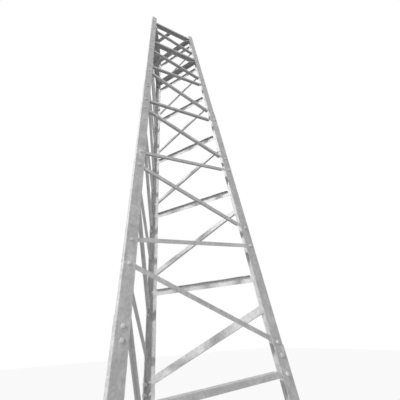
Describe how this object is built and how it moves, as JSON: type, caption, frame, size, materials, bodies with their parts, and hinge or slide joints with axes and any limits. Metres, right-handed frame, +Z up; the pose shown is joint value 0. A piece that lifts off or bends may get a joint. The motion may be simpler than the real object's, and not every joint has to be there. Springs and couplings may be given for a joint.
{
  "type": "self-supporting radio tower",
  "caption": "Three-legged lattice tower of folded steel legs in bolted sections, with angle struts, single diagonals and level frames near its top.",
  "frame": {"origin": "on the ground, under the middle of the box round the three feet, which is 167 mm in front of the legs' middle", "axes": "+Z up; +Y to the rear leg; +X to the right leg"},
  "size_m": [1.5584, 1.3496, 6.7028],
  "materials": {
    "leg_steel": "hot-dip galvanised, weathered matt grey",
    "brace_steel": "hot-dip galvanised, mottled grey",
    "frame_steel": "hot-dip galvanised, dull grey",
    "foot_steel": "hot-dip galvanised plate, dull grey"
  },
  "bodies": {
    "root": {"left_leg_base": "leg_steel", "left_leg_middle": "leg_steel", "left_leg_top": "leg_steel", "right_leg_base": "leg_steel", "right_leg_middle": "leg_steel", "right_leg_top": "leg_steel", "rear_leg_base": "leg_steel", "rear_leg_middle": "leg_steel", "rear_leg_top": "leg_steel", "left_foot": "foot_steel", "right_foot": "foot_steel", "rear_foot": "foot_steel", "front_struts_base": "brace_steel", "front_struts_middle": "brace_steel", "front_struts_top": "brace_steel", "right_struts_base": "brace_steel", "right_struts_middle": "brace_steel", "right_struts_top": "brace_steel", "left_struts_base": "brace_steel", "left_struts_middle": "brace_steel", "left_struts_top": "brace_steel", "front_diagonals_base": "brace_steel", "front_diagonals_middle": "brace_steel", "front_diagonals_top": "brace_steel", "right_diagonals_base": "brace_steel", "right_diagonals_middle": "brace_steel", "right_diagonals_top": "brace_steel", "left_diagonals_base": "brace_steel", "left_diagonals_middle": "brace_steel", "left_diagonals_top": "brace_steel", "front_frames": "frame_steel", "right_frames": "frame_steel", "left_frames": "frame_steel", "frame_ties": "frame_steel"}
  },
  "joints": []
}
